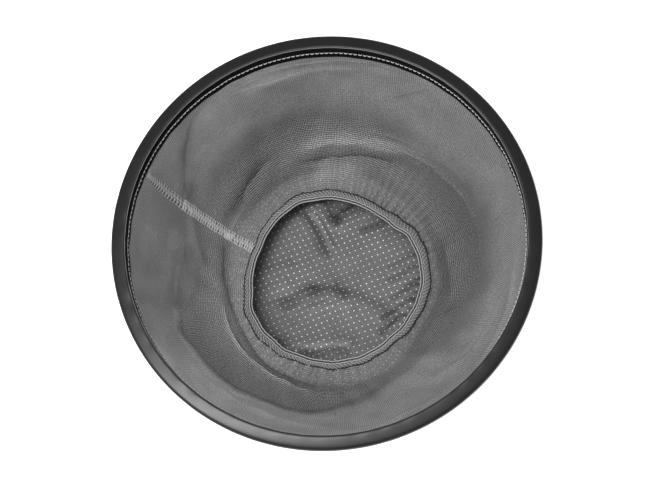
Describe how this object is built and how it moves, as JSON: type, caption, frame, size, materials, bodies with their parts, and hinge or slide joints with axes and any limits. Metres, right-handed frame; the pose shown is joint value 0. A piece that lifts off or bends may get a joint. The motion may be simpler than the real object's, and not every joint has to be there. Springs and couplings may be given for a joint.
{
  "type": "beekeeping veil",
  "caption": "Round pull-on beekeeping veil: gathered see-through net between a wire-stiffened rim and an elastic head ring, with a perforated cloth crown.",
  "frame": {"origin": "on the resting surface, under the middle of the crown", "axes": "+Z from the crown up through the head opening to the rim, every ring centred on it; +X and +Y level, with the side seam at 146 degrees from +X"},
  "size_m": [0.4, 0.4, 0.1837],
  "materials": {
    "spring_wire": "drawn spring wire",
    "crimp_sleeve": "crimped tube",
    "binding_tape": "tightly woven satin binding",
    "hem_tape": "matt woven tape",
    "thread": "spun polyester thread",
    "overlock_thread": "overlocked thread edge",
    "net": "fine square mesh",
    "crown_cloth": "perforated woven cloth",
    "elastic": "ribbed elastic"
  },
  "bodies": {
    "crown": {"crown_cloth": "crown_cloth", "head_elastic": "elastic", "crown_piping": "hem_tape", "crown_seam_overlock": "overlock_thread", "crown_seam_stitching": "thread", "veil_net": "net", "side_seam_overlock": "overlock_thread", "side_seam_stitching": "thread"},
    "hoop": {"hoop_wire": "spring_wire", "hoop_ferrule": "crimp_sleeve", "rim_binding": "binding_tape", "rim_hem": "hem_tape", "rim_stitching": "thread"}
  },
  "joints": [
    {"name": "net_drop", "type": "slide", "parent": "crown", "child": "hoop", "axis": [0, 0, 1], "range_m": [-0.14, 0.04], "deforming": ["veil_net", "side_seam_overlock", "side_seam_stitching"]}
  ]
}
